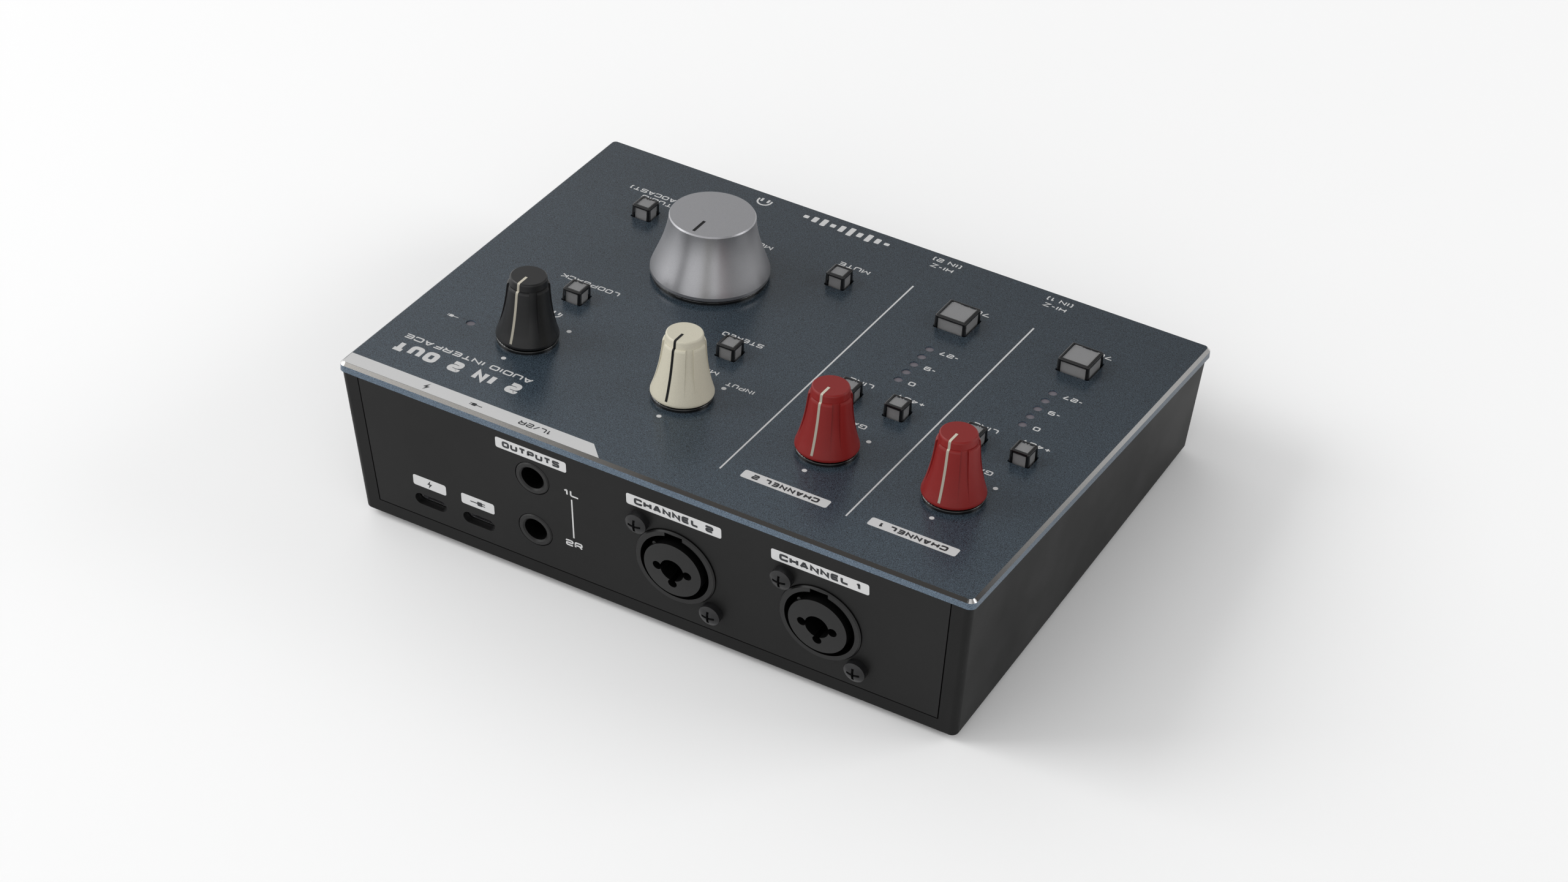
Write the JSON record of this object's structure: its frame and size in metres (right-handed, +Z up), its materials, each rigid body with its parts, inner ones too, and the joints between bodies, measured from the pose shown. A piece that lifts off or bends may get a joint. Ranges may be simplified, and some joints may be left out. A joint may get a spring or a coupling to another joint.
{
  "type": "audio interface",
  "caption": "Desktop audio interface: sloping metal deck with turning knobs, press buttons and level lights; combined XLR and jack inputs, line outputs and USB sockets behind.",
  "frame": {"origin": "centre of the bounding box's base, on the surface the feet stand on", "axes": "+Z up, +Y out of the rear panel with its sockets, -Y towards the user, +X to the user's right"},
  "size_m": [0.18, 0.1324, 0.0632],
  "materials": {
    "deck_paint": "satin",
    "case_black": "satin",
    "panel_black": "satin",
    "connector_black": "matte",
    "contact_metal": "plated",
    "screw_black": "satin",
    "connector_steel": "satin",
    "board_green": "satin",
    "component_black": "matte",
    "foot_rubber": "matte",
    "pot_metal": "satin",
    "led_lens": "frosted",
    "ring_black": "gloss",
    "knob_red": "satin",
    "knob_cream": "satin",
    "knob_black": "satin",
    "knob_silver": "satin",
    "shaft_metal": "turned",
    "pointer_white": "satin",
    "pointer_black": "satin",
    "cap_smoke": "clear smoke plastic",
    "core_grey": "satin"
  },
  "bodies": {
    "case": {"top_plate": "deck_paint", "case_body": "case_black", "rear_panel": "panel_black", "front_panel": "panel_black", "combo_housing_1": "connector_black", "combo_insert_1": "connector_black", "combo_housing_2": "connector_black", "combo_insert_2": "connector_black", "combo_contacts": "contact_metal", "combo_screws": "screw_black", "output_jack_1": "connector_black", "output_jack_2": "connector_black", "instrument_jack_1": "connector_black", "instrument_jack_2": "connector_black", "headphone_jack": "connector_black", "usb_port_power": "connector_steel", "usb_port_data": "connector_steel", "control_board": "board_green", "main_board": "board_green", "board_components": "component_black", "case_screws": "screw_black", "rubber_feet": "foot_rubber", "pot_bodies": "pot_metal", "switch_bodies": "component_black", "led_lenses": "led_lens", "dress_rings": "ring_black"},
    "control_gain_1": {"knob_gain_1": "knob_red", "shaft_gain_1": "shaft_metal", "pointer_gain_1": "pointer_white"},
    "control_gain_2": {"knob_gain_2": "knob_red", "shaft_gain_2": "shaft_metal", "pointer_gain_2": "pointer_white"},
    "control_mix": {"knob_mix": "knob_cream", "shaft_mix": "shaft_metal", "pointer_mix": "pointer_black"},
    "control_phones": {"knob_phones": "knob_black", "shaft_phones": "shaft_metal", "pointer_phones": "pointer_white"},
    "control_monitor": {"knob_monitor": "knob_silver", "shaft_monitor": "shaft_metal"},
    "button_phantom_1": {"button_cap_phantom_1": "cap_smoke", "button_core_phantom_1": "core_grey"},
    "button_line_1": {"button_cap_line_1": "cap_smoke", "button_core_line_1": "core_grey"},
    "button_phantom_2": {"button_cap_phantom_2": "cap_smoke", "button_core_phantom_2": "core_grey"},
    "button_line_2": {"button_cap_line_2": "cap_smoke", "button_core_line_2": "core_grey"},
    "button_stereo": {"button_cap_stereo": "cap_smoke", "button_core_stereo": "core_grey"},
    "button_loopback": {"button_cap_loopback": "cap_smoke", "button_core_loopback": "core_grey"},
    "button_mute": {"button_cap_mute": "cap_smoke", "button_core_mute": "core_grey"},
    "button_studio": {"button_cap_studio": "cap_smoke", "button_core_studio": "core_grey"},
    "button_input_1": {"button_cap_input_1": "cap_smoke", "button_core_input_1": "core_grey"},
    "button_input_2": {"button_cap_input_2": "cap_smoke", "button_core_input_2": "core_grey"}
  },
  "joints": [
    {"name": "turn_gain_1", "type": "hinge", "parent": "case", "child": "control_gain_1", "pos_m": [-0.0656, 0.02865, 0.04392], "axis": [0, -0.1278, 0.9918], "range_deg": [-140, 140]},
    {"name": "turn_gain_2", "type": "hinge", "parent": "case", "child": "control_gain_2", "pos_m": [-0.0304, 0.02865, 0.04392], "axis": [0, -0.1278, 0.9918], "range_deg": [-140, 140]},
    {"name": "turn_mix", "type": "hinge", "parent": "case", "child": "control_mix", "pos_m": [0.01095, 0.02865, 0.04392], "axis": [0, -0.1278, 0.9918], "range_deg": [-140, 140]},
    {"name": "turn_phones", "type": "hinge", "parent": "case", "child": "control_phones", "pos_m": [0.0565, 0.02865, 0.04392], "axis": [0, -0.1278, 0.9918], "range_deg": [-140, 140]},
    {"name": "turn_monitor", "type": "hinge", "parent": "case", "child": "control_monitor", "pos_m": [0.0338, -0.02289, 0.03728], "axis": [0, -0.1278, 0.9918], "range_deg": [-140, 140]},
    {"name": "press_phantom_1", "type": "slide", "parent": "case", "child": "button_phantom_1", "axis": [0, 0.1278, -0.9918], "range_m": [0, 0.0015], "stiffness_N_per_m": 700, "springref_m": -0.0005},
    {"name": "press_line_1", "type": "slide", "parent": "case", "child": "button_line_1", "axis": [0, 0.1278, -0.9918], "range_m": [0, 0.0015], "stiffness_N_per_m": 700, "springref_m": -0.0005},
    {"name": "press_phantom_2", "type": "slide", "parent": "case", "child": "button_phantom_2", "axis": [0, 0.1278, -0.9918], "range_m": [0, 0.0015], "stiffness_N_per_m": 700, "springref_m": -0.0005},
    {"name": "press_line_2", "type": "slide", "parent": "case", "child": "button_line_2", "axis": [0, 0.1278, -0.9918], "range_m": [0, 0.0015], "stiffness_N_per_m": 700, "springref_m": -0.0005},
    {"name": "press_stereo", "type": "slide", "parent": "case", "child": "button_stereo", "axis": [0, 0.1278, -0.9918], "range_m": [0, 0.0015], "stiffness_N_per_m": 700, "springref_m": -0.0005},
    {"name": "press_loopback", "type": "slide", "parent": "case", "child": "button_loopback", "axis": [0, 0.1278, -0.9918], "range_m": [0, 0.0015], "stiffness_N_per_m": 700, "springref_m": -0.0005},
    {"name": "press_mute", "type": "slide", "parent": "case", "child": "button_mute", "axis": [0, 0.1278, -0.9918], "range_m": [0, 0.0015], "stiffness_N_per_m": 700, "springref_m": -0.0005},
    {"name": "press_studio", "type": "slide", "parent": "case", "child": "button_studio", "axis": [0, 0.1278, -0.9918], "range_m": [0, 0.0015], "stiffness_N_per_m": 700, "springref_m": -0.0005},
    {"name": "press_input_1", "type": "slide", "parent": "case", "child": "button_input_1", "axis": [0, 0.1278, -0.9918], "range_m": [0, 0.0015], "stiffness_N_per_m": 700, "springref_m": -0.0005},
    {"name": "press_input_2", "type": "slide", "parent": "case", "child": "button_input_2", "axis": [0, 0.1278, -0.9918], "range_m": [0, 0.0015], "stiffness_N_per_m": 700, "springref_m": -0.0005}
  ]
}
